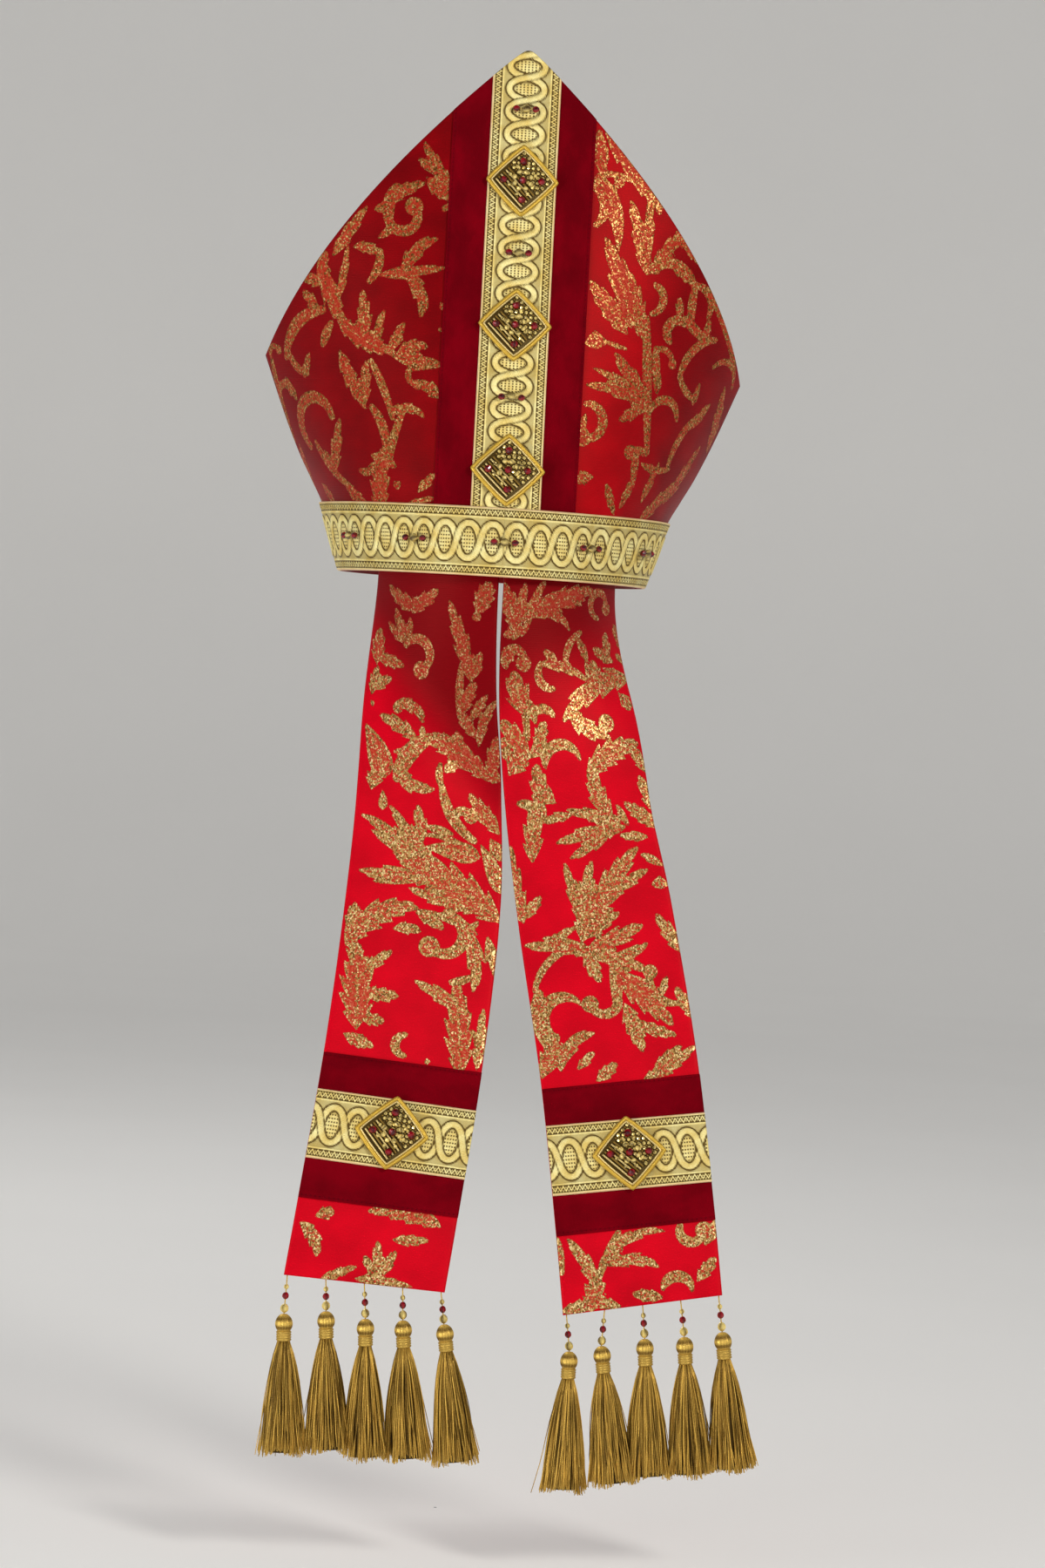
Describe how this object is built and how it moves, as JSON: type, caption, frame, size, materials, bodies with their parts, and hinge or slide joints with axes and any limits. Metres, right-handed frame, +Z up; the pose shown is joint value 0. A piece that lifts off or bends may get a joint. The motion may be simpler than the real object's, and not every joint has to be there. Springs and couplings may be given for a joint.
{
  "type": "bishop mitre",
  "caption": "Red brocade bishop's mitre with two pointed shields, gold galloon, velvet borders, jewelled rhombs and tails ending in tassels.",
  "frame": {"origin": "centre of the head opening, in the plane of the rim", "axes": "+Z up along the cap, +Y the way the wearer faces, +X the wearer's right; the tails hang on the -Y side"},
  "size_m": [0.3066, 0.3053, 0.8164],
  "materials": {
    "brocade": "red satin woven with gold thread",
    "web": "plain red lining cloth",
    "velvet": "dark red velvet",
    "galloon": "woven gold braid",
    "rhomb": "gold cord and thread embroidery",
    "beads": "faceted, polished",
    "drop_beads": "faceted, polished",
    "tassel": "glossy gold thread"
  },
  "bodies": {
    "root": {"back_shield": "brocade", "back_velvet": "velvet", "back_galloon": "galloon", "front_shield": "brocade", "front_velvet": "velvet", "front_galloon": "galloon", "head_band": "galloon", "crown_gusset": "web", "back_rhomb_1": "rhomb", "back_beads_1": "beads", "back_rhomb_2": "rhomb", "back_beads_2": "beads", "back_rhomb_3": "rhomb", "back_beads_3": "beads", "front_rhomb_1": "rhomb", "front_beads_1": "beads", "front_rhomb_2": "rhomb", "front_beads_2": "beads", "front_rhomb_3": "rhomb", "front_beads_3": "beads", "band_beads_01": "beads", "band_beads_02": "beads", "band_beads_03": "beads", "band_beads_04": "beads", "band_beads_05": "beads", "band_beads_06": "beads", "band_beads_07": "beads", "band_beads_08": "beads", "band_beads_09": "beads", "band_beads_10": "beads", "left_lappet": "brocade", "left_lappet_velvet": "velvet", "left_lappet_galloon": "galloon", "left_lappet_rhomb": "rhomb", "right_lappet": "brocade", "right_lappet_velvet": "velvet", "right_lappet_galloon": "galloon", "right_lappet_rhomb": "rhomb", "left_bead_drop_1": "drop_beads", "left_tassel_1": "tassel", "left_bead_drop_2": "drop_beads", "left_tassel_2": "tassel", "left_bead_drop_3": "drop_beads", "left_tassel_3": "tassel", "left_bead_drop_4": "drop_beads", "left_tassel_4": "tassel", "left_bead_drop_5": "drop_beads", "left_tassel_5": "tassel", "right_bead_drop_1": "drop_beads", "right_tassel_1": "tassel", "right_bead_drop_2": "drop_beads", "right_tassel_2": "tassel", "right_bead_drop_3": "drop_beads", "right_tassel_3": "tassel", "right_bead_drop_4": "drop_beads", "right_tassel_4": "tassel", "right_bead_drop_5": "drop_beads", "right_tassel_5": "tassel"}
  },
  "joints": []
}
